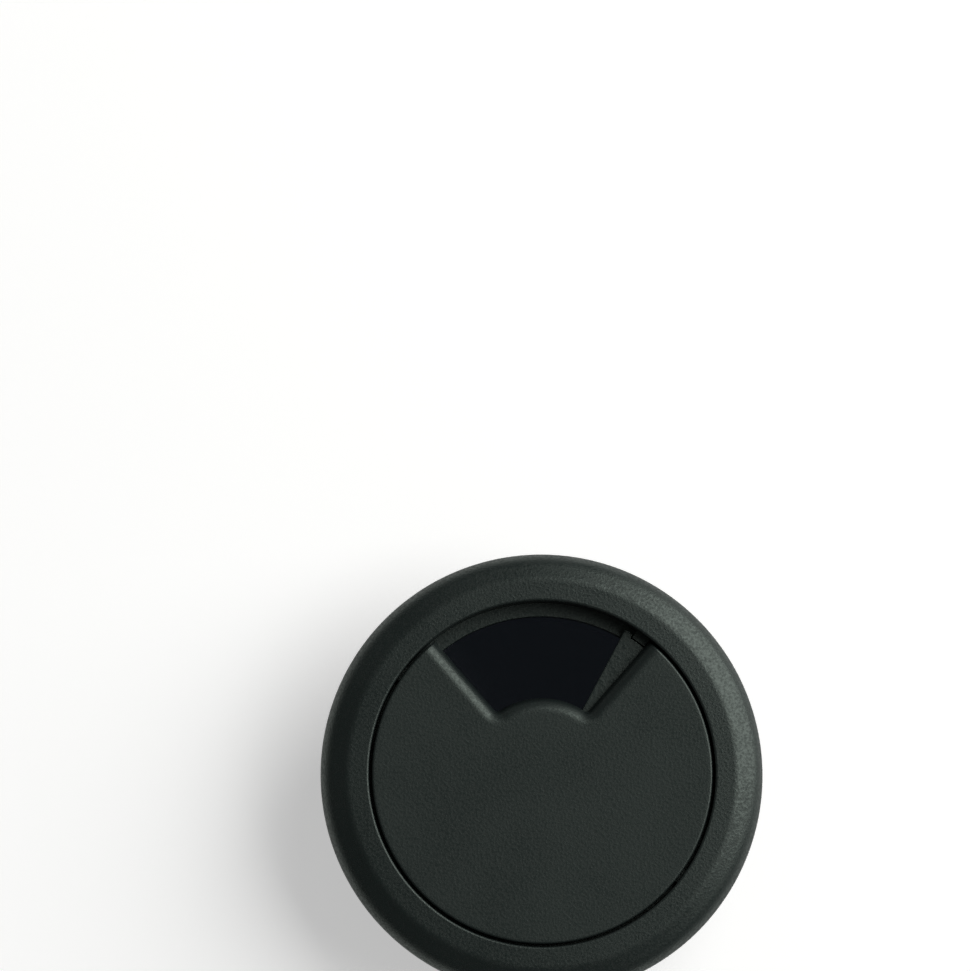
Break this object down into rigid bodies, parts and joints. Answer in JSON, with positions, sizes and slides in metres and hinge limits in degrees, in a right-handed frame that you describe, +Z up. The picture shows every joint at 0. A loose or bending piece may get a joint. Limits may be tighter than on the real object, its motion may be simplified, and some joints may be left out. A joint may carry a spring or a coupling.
{
  "type": "desk grommet",
  "caption": "Round desktop cable grommet: flanged sleeve for a round hole, with a lift-out insert whose cap turns over a keyed shutter to open and close the cable window.",
  "frame": {"origin": "on the axis, in the plane of the desktop's face that the flange seats on", "axes": "+Z up along the axis, out of the desktop; +Y towards the middle of the cable window"},
  "size_m": [0.07, 0.07, 0.0224],
  "materials": {
    "liner_plastic": "fine spark-eroded texture",
    "shutter_plastic": "fine spark-eroded texture",
    "cap_plastic": "fine spark-eroded texture",
    "spring_steel": "bright rolled spring steel",
    "zinc_plated_steel": "bright zinc plate"
  },
  "bodies": {
    "liner": {"liner": "liner_plastic"},
    "insert": {"shutter_disc": "shutter_plastic"},
    "cap": {"cap": "cap_plastic", "wave_washer": "spring_steel", "flat_washer": "zinc_plated_steel", "pivot_screw": "zinc_plated_steel"}
  },
  "joints": [
    {"name": "insert_lift", "type": "slide", "parent": "liner", "child": "insert", "axis": [0, 0, 1], "range_m": [0, 0.02]},
    {"name": "cap_turn", "type": "hinge", "parent": "insert", "child": "cap", "pos_m": [0, 0, 0], "axis": [0, 0, 1], "range_deg": [-73, 13]}
  ]
}
